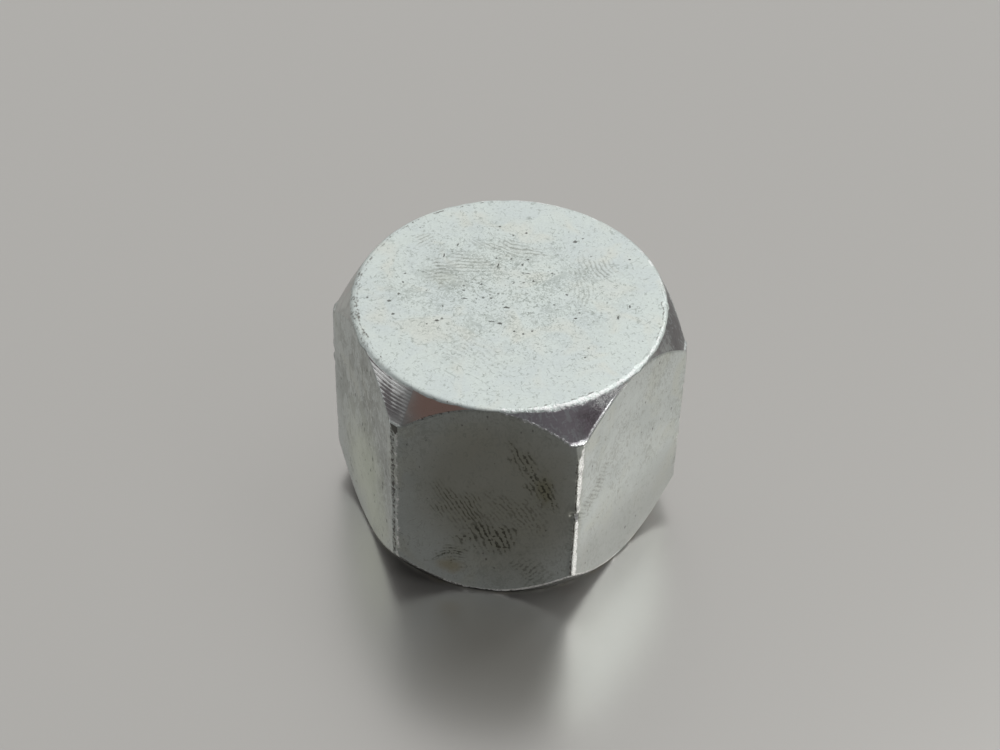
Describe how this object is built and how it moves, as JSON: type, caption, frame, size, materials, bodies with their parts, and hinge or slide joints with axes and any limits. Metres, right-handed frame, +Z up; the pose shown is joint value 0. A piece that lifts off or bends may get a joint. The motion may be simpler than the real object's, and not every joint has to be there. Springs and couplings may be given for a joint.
{
  "type": "hydraulic cap fitting",
  "caption": "Hexagonal blind cap for a flared hydraulic fitting, with a turned cone at both ends, an internal thread and a conical seat.",
  "frame": {"origin": "centre of the open end, in the plane of its rim, which the cap stands on", "axes": "+Z up along the axis from the open end to the closed end, +X towards one of the six long corners, +Y square to a flat"},
  "size_m": [0.0256, 0.0222, 0.0186],
  "materials": {
    "zinc_plate": "bright zinc plate on turned steel, satin, slightly green, pitted and worn at the edges"
  },
  "bodies": {
    "root": {"cap_body": "zinc_plate"}
  },
  "joints": []
}
